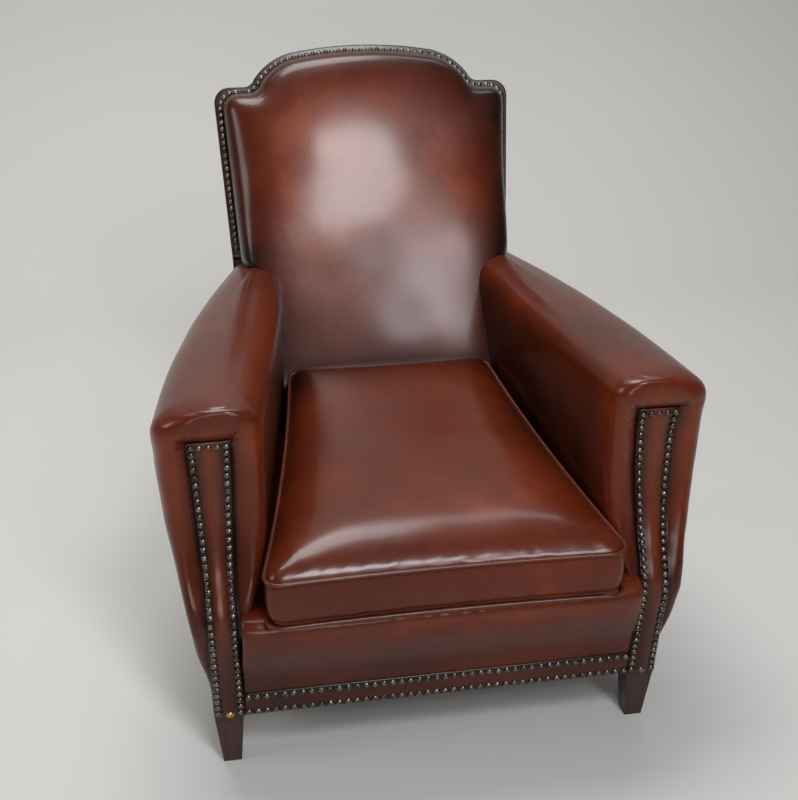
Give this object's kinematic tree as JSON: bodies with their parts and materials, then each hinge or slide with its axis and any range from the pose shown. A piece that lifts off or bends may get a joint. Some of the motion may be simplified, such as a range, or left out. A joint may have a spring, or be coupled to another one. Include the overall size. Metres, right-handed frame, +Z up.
{
  "type": "club armchair",
  "caption": "Club armchair in hand-coloured leather with a domed raked back, splayed padded arms edged with domed nails, tapered feet and a loose crowned seat cushion.",
  "frame": {"origin": "centre of the chair's bounding box on the floor, under the seat", "axes": "+Z up from the floor, +Y towards the back of the chair, so the sitter faces -Y; +X is on the right of someone who looks at the front of the chair"},
  "size_m": [0.753, 0.9186, 0.8725],
  "materials": {
    "leather_brown": "gloss",
    "leather_edge": "satin",
    "leather_welt": "gloss",
    "nail_bronze": "satin",
    "foot_wood": "satin",
    "frame_wood": "matte",
    "jute_webbing": "matte",
    "hessian": "matte",
    "stuffing": "matte",
    "spring_steel": "satin",
    "screw_steel": "satin",
    "dust_cloth": "matte"
  },
  "bodies": {
    "chair": {"arm_facing_strip_left": "leather_edge", "arm_facing_strip_right": "leather_edge", "arm_front_cover_left": "leather_brown", "arm_front_cover_right": "leather_brown", "arm_nails_left": "nail_bronze", "arm_nails_right": "nail_bronze", "arm_padding_left": "stuffing", "arm_padding_right": "stuffing", "arm_post_left": "frame_wood", "arm_post_right": "frame_wood", "arm_rail_left": "frame_wood", "arm_rail_right": "frame_wood", "back_border_cover": "leather_brown", "back_edge_strip": "leather_edge", "back_hessian": "hessian", "back_lower_rail": "frame_wood", "back_nails": "nail_bronze", "back_padding": "stuffing", "back_post_left": "frame_wood", "back_post_right": "frame_wood", "back_springs": "spring_steel", "back_webbing": "jute_webbing", "block_screws": "screw_steel", "corner_blocks": "frame_wood", "crest_rail": "frame_wood", "dust_cover": "dust_cloth", "front_band_nails": "nail_bronze", "front_band_strip": "leather_edge", "front_border_cover": "leather_brown", "front_border_padding": "stuffing", "front_foot_left": "foot_wood", "front_foot_right": "foot_wood", "front_rail": "frame_wood", "inside_arm_cover_left": "leather_brown", "inside_arm_cover_right": "leather_brown", "inside_back_cover": "leather_brown", "outside_arm_cover_left": "leather_brown", "outside_arm_cover_right": "leather_brown", "outside_back_cover": "leather_brown", "rear_foot_left": "foot_wood", "rear_foot_right": "foot_wood", "rear_rail": "frame_wood", "seat_deck_cover": "leather_brown", "seat_deck_padding": "stuffing", "seat_hessian": "hessian", "seat_springs": "spring_steel", "seat_webbing": "jute_webbing", "side_rail_left": "frame_wood", "side_rail_right": "frame_wood"},
    "seat_cushion": {"cushion_bottom_panel": "leather_brown", "cushion_bottom_welt": "leather_welt", "cushion_boxing": "leather_brown", "cushion_core": "stuffing", "cushion_top_panel": "leather_brown", "cushion_top_welt": "leather_welt"}
  },
  "joints": [
    {"name": "cushion_lift_out", "type": "slide", "parent": "chair", "child": "seat_cushion", "axis": [0, -0.9962, 0.0872], "range_m": [0, 0.6]}
  ]
}
